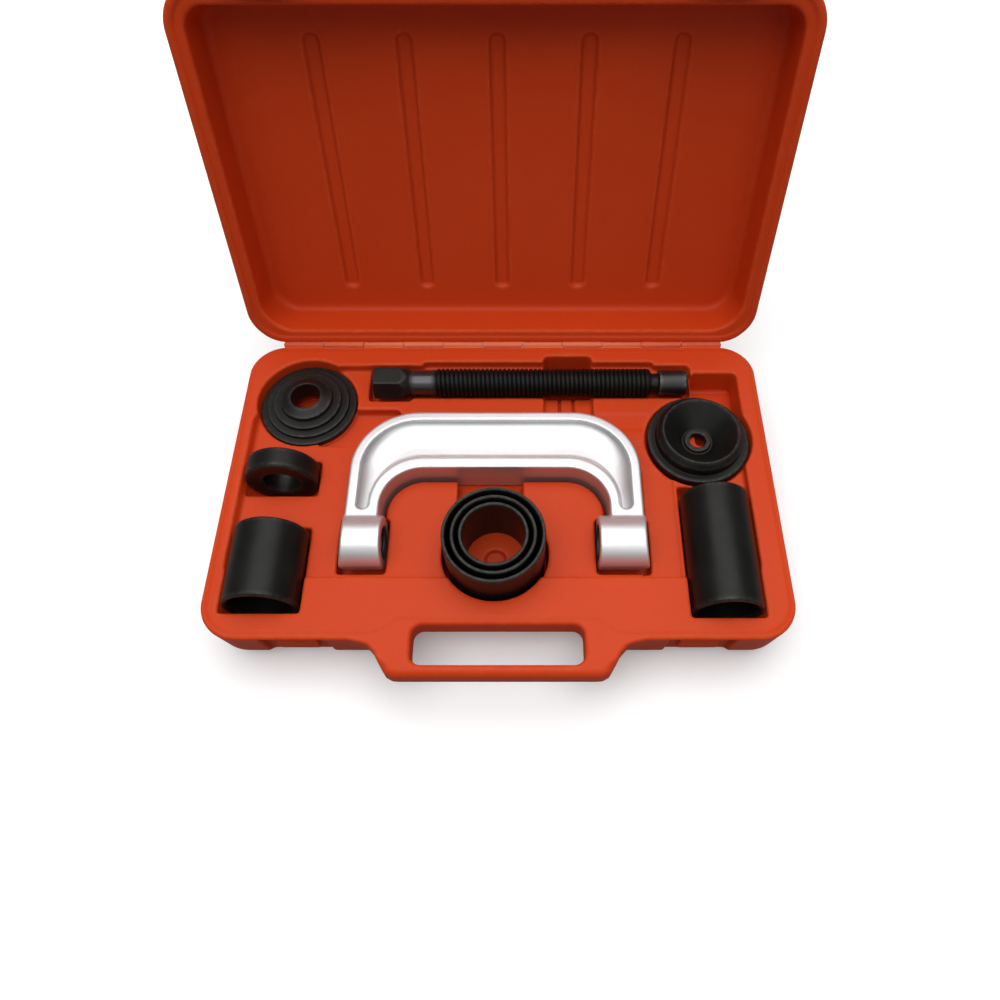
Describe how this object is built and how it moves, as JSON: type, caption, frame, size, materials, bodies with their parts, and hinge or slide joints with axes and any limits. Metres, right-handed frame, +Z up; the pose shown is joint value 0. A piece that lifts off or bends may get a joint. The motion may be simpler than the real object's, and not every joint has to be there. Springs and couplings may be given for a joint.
{
  "type": "ball joint separator press kit in carrying case",
  "caption": "C-frame ball joint press with forcing screw, receiving tubes and adapters in a hinged blow-moulded carrying case with latches and a moulded handle.",
  "frame": {"origin": "centre of the case base's underside", "axes": "+Z up, +Y towards the case hinge, +X to the right seen from the handle side"},
  "size_m": [0.4, 0.3795, 0.3121],
  "materials": {
    "case_plastic": "satin blow-moulded polyethylene, orange-red",
    "latch_plastic": "moulded, same orange-red as the case",
    "silver_paint": "forged steel, satin silver coating",
    "black_oxide": "machined steel, black oxide, lightly oiled",
    "ground_steel": "machined steel, thin dark oxide",
    "pin_steel": "bright wire"
  },
  "bodies": {
    "base": {"case_base": "case_plastic", "hinge_pin": "pin_steel"},
    "lid": {"case_lid": "case_plastic", "latch_pin_left": "pin_steel", "latch_pin_right": "pin_steel"},
    "latch_left": {"latch_left": "latch_plastic"},
    "latch_right": {"latch_right": "latch_plastic"},
    "swivel_tip": {"screw_swivel_tip": "ground_steel"},
    "c_frame": {"c_frame": "silver_paint"},
    "screw": {"forcing_screw": "black_oxide", "tip_snap_ring": "pin_steel"},
    "tube_large": {"receiving_tube_large": "black_oxide"},
    "tube_medium": {"receiving_tube_medium": "black_oxide"},
    "tube_small": {"receiving_tube_small": "black_oxide"},
    "stepped_adapter": {"stepped_adapter": "black_oxide"},
    "dished_adapter": {"dished_adapter": "black_oxide"},
    "short_sleeve": {"short_sleeve": "black_oxide"},
    "installing_tube": {"installing_tube": "black_oxide"},
    "long_tube": {"long_receiving_tube": "black_oxide"}
  },
  "joints": [
    {"name": "lid_hinge", "type": "hinge", "parent": "base", "child": "lid", "pos_m": [0, 0.1232, 0.047], "axis": [-1, 0, 0], "range_deg": [-107.5, 0]},
    {"name": "latch_left_pivot", "type": "hinge", "parent": "lid", "child": "latch_left", "pos_m": [-0.136, 0.21061, 0.27434], "axis": [-1, 0, 0], "range_deg": [-13, 70]},
    {"name": "latch_right_pivot", "type": "hinge", "parent": "lid", "child": "latch_right", "pos_m": [0.136, 0.21061, 0.27434], "axis": [-1, 0, 0], "range_deg": [-13, 70]},
    {"name": "c_frame_lift", "type": "slide", "parent": "base", "child": "c_frame", "axis": [0, 0, 1], "range_m": [0, 0.15]},
    {"name": "screw_lift", "type": "slide", "parent": "base", "child": "screw", "axis": [0, 0, 1], "range_m": [0, 0.15]},
    {"name": "tube_large_lift", "type": "slide", "parent": "base", "child": "tube_large", "axis": [0, 0, 1], "range_m": [0, 0.15]},
    {"name": "tube_medium_lift", "type": "slide", "parent": "base", "child": "tube_medium", "axis": [0, 0, 1], "range_m": [0, 0.15]},
    {"name": "tube_small_lift", "type": "slide", "parent": "base", "child": "tube_small", "axis": [0, 0, 1], "range_m": [0, 0.15]},
    {"name": "stepped_adapter_lift", "type": "slide", "parent": "base", "child": "stepped_adapter", "axis": [0, 0, 1], "range_m": [0, 0.15]},
    {"name": "dished_adapter_lift", "type": "slide", "parent": "base", "child": "dished_adapter", "axis": [0, 0, 1], "range_m": [0, 0.15]},
    {"name": "short_sleeve_lift", "type": "slide", "parent": "base", "child": "short_sleeve", "axis": [0, 0, 1], "range_m": [0, 0.15]},
    {"name": "installing_tube_lift", "type": "slide", "parent": "base", "child": "installing_tube", "axis": [0, 0, 1], "range_m": [0, 0.15]},
    {"name": "long_tube_lift", "type": "slide", "parent": "base", "child": "long_tube", "axis": [0, 0, 1], "range_m": [0, 0.15]},
    {"name": "tip_swivel", "type": "hinge", "parent": "screw", "child": "swivel_tip", "pos_m": [0.1334, 0.0868, 0.045], "axis": [1, 0, 0], "continuous": true}
  ]
}
